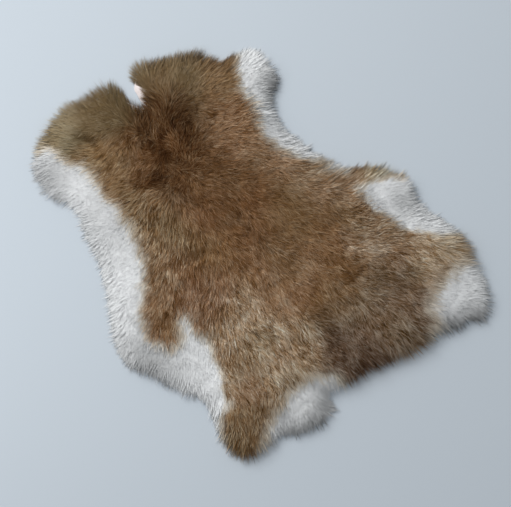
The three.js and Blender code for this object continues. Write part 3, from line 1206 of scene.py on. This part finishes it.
def grown(tree, root, inputs):
    """The plain mesh of the hair that the tree grows on a root surface."""
    modifier = root.modifiers.new("coat", "NODES")
    modifier.node_group = tree
    for item in tree.interface.items_tree:
        if item.in_out == "INPUT" and item.name in inputs:
            modifier[item.identifier] = inputs[item.name]
    bpy.context.view_layer.update()
    seen = root.evaluated_get(bpy.context.evaluated_depsgraph_get())
    mesh = bpy.data.meshes.new_from_object(seen)
    root.modifiers.remove(modifier)
    return mesh


def band_roots(mesh, told, first, last):
    """A loose copy of the part of the root surface between two places along the spine."""
    corners = corners_of(mesh)
    faces, middles = [], corners[:, 0] / MM
    for polygon in mesh.polygons:
        middle = middles[list(polygon.vertices)].mean()
        if first <= middle < last and polygon.normal.z > DOWNWARD:
            faces.append(tuple(polygon.vertices))
    used = sorted({i for f in faces for i in f})
    index = {old: new for new, old in enumerate(used)}
    made = new_object("roots", corners[used], [[index[i] for i in f] for f in faces])
    for name, values in told.items():
        put(made.data, name, values[used])
    return made


def soften(mesh):
    """Turns the hair's shading most of the way to that of the pile it grows from."""
    own = corners_of(mesh, "normal")
    share = numbers(mesh, "own")[:, None]
    turned = unit(share * own + (1 - share) * numbers(mesh, "under", 3))
    mesh.normals_split_custom_set_from_vertices(turned.tolist())


def lay_out(mesh):
    """Gives each hair a strip of its own in the map that its colours are kept in."""
    corner = np.empty(len(mesh.loops), np.int32)
    mesh.loops.foreach_get("vertex_index", corner)
    along = numbers(mesh, "along")
    owner = hair_numbers(along)
    across = int(math.ceil(math.sqrt((owner.max() + 1) * STRIP_HEIGHT)))
    down = int(math.ceil((owner.max() + 1) / across))
    column, row = owner[corner] % across, owner[corner] // across
    side = numbers(mesh, "across")[corner]
    run = column + STRIP_START + STRIP_RUN * along[corner]
    uv = np.stack([run / across, (row + side) / down], axis=1)
    layer = mesh.uv_layers.new(name="OFBake")
    layer.data.foreach_set("uv", uv.astype(np.float32).ravel())


def hair_numbers(along):
    """Which hair each point belongs to: a new one begins where the count along it starts again."""
    starts = np.concatenate([[True], (along[1:] == 0) & (along[:-1] == 1)])
    return np.cumsum(starts) - 1


def join(meshes, name):
    """One object from several plain meshes with the same attributes."""
    objects = []
    for mesh in meshes:
        made = bpy.data.objects.new(name, mesh)
        bpy.context.scene.collection.objects.link(made)
        objects.append(made)
    with bpy.context.temp_override(
        active_object=objects[0], object=objects[0], selected_editable_objects=objects
    ):
        bpy.ops.object.join()
    return objects[0]


hair_finish = hair_material()
under_finish = underfur_material()
hide_finish = hide_material()

hide_outline = inset(
    rim,
    lambda places: (HIDE_INSET + short(places)) * (1 - HIDE_TO_CUT * by_cut(places)),
    OUTLINE_STEP,
)
fur_outline = inset(rim, lambda places: FUR_INSET + short(places), OUTLINE_STEP)
hide = closed_sheet(
    "hide",
    hide_outline,
    HIDE_CELL,
    lambda places: HIDE_THICK + bumps(places, "hide"),
    hide_finish,
)
underfur = closed_sheet("underfur", fur_outline, MAT_CELL, mat_top, under_finish)
told = grow_attributes(underfur.data)

coat_hairs = strand_group(
    "coat_hair", widest=0.42, width=0.017, arches=(0.05, 0.09, 0.13), curls=(-0.1, 0.0, 0.1)
)
guard_hairs = strand_group(
    "guard_hair", widest=0.5, width=0.0095, arches=(0.06, 0.1, 0.14), curls=(-0.14, 0.0, 0.14)
)
grow = coat_tree()

# Each kind's hairs, how many there are, how far they stray, are drawn in and rise, and its seed
kinds = (
    (coat_hairs, COAT_PER_MM2, 1.0, 1.0, "hair_length", 1.0, 3),
    (guard_hairs, GUARD_PER_MM2, 0.9, 0.7, "guard_length", GUARD_RISE, 7),
)
furs = []
ends = [start for _, start in BANDS[1:]] + [COAT_END]
for number, ((name, first), last) in enumerate(zip(BANDS, ends)):
    root = band_roots(underfur.data, told, first, last)
    meshes = []
    for group, density, stray, pull, length, rise, seed in kinds:
        inputs = {
            "Hairs": group,
            "Per Square Metre": density * PER_M2,
            "Stray Factor": stray,
            "Pull Factor": pull,
            "Length": length,
            "Rise": rise,
            "Seed": seed + SEED_STEP * number,
            "Finish": hair_finish,
        }
        meshes.append(grown(grow, root, inputs))
    bpy.data.objects.remove(root)
    fur = join(meshes, name)
    fur.name = name
    lay_out(fur.data)
    soften(fur.data)
    furs.append(fur)

for group in (coat_hairs, guard_hairs):
    for made in list(group.objects):
        bpy.data.objects.remove(made)
    bpy.data.collections.remove(group)

floor_finish, _, floor_shader = material("pale floor", FLOOR_ROUGHNESS)
floor_shader.inputs["Base Color"].default_value = FLOOR_COLOUR
floor = new_object(
    "floor",
    [(x * FLOOR_HALF, y * FLOOR_HALF, 0) for x, y in ((-1, -1), (1, -1), (1, 1), (-1, 1))],
    [(0, 1, 2, 3)],
    floor_finish,
)

camera_data = bpy.data.cameras.new("camera")
camera_data.sensor_width = SENSOR_WIDTH
camera_data.lens = SENSOR_WIDTH * CAMERA_PLACE[2] / VIEW_WIDTH
camera_data.clip_end = 30.0
camera = bpy.data.objects.new("camera", camera_data)
right, up = Vector(IMAGE_RIGHT).normalized(), Vector(IMAGE_UP).normalized()
camera.matrix_world = Matrix.Translation(CAMERA_PLACE) @ Matrix(
    (
        (right.x, up.x, 0, 0),
        (right.y, up.y, 0, 0),
        (0, 0, 1, 0),
        (0, 0, 0, 1),
    )
)
bpy.context.scene.collection.objects.link(camera)
bpy.context.scene.camera = camera

# Each light is a square that faces the middle of the pelt
for name, place, size, power, colour in LIGHTS:
    light = bpy.data.lights.new(name, "AREA")
    light.shape = "SQUARE"
    light.size = size
    light.energy = power
    light.color = colour
    made = bpy.data.objects.new(name, light)
    made.location = place
    made.visible_camera = False
    made.rotation_euler = (-Vector(place)).to_track_quat("-Z", "Y").to_euler()
    bpy.context.scene.collection.objects.link(made)

world = bpy.data.worlds.new("studio")
world.use_nodes = True
world.node_tree.nodes["Background"].inputs["Color"].default_value = WORLD_COLOUR
world.node_tree.nodes["Background"].inputs["Strength"].default_value = WORLD_STRENGTH
bpy.context.scene.world = world
bpy.context.scene.view_settings.view_transform = "Standard"

for piece in [hide, underfur, *furs]:
    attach(piece, "root")
    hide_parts("pelt")

turned = np.roll(hide_outline, -1, axis=0)
cut_area = abs((hide_outline[:, 0] * turned[:, 1] - turned[:, 0] * hide_outline[:, 1]).sum()) / 2
cut_size = (hide_outline.max(axis=0) - hide_outline.min(axis=0)) * MM
float(cut_area * MM * MM)
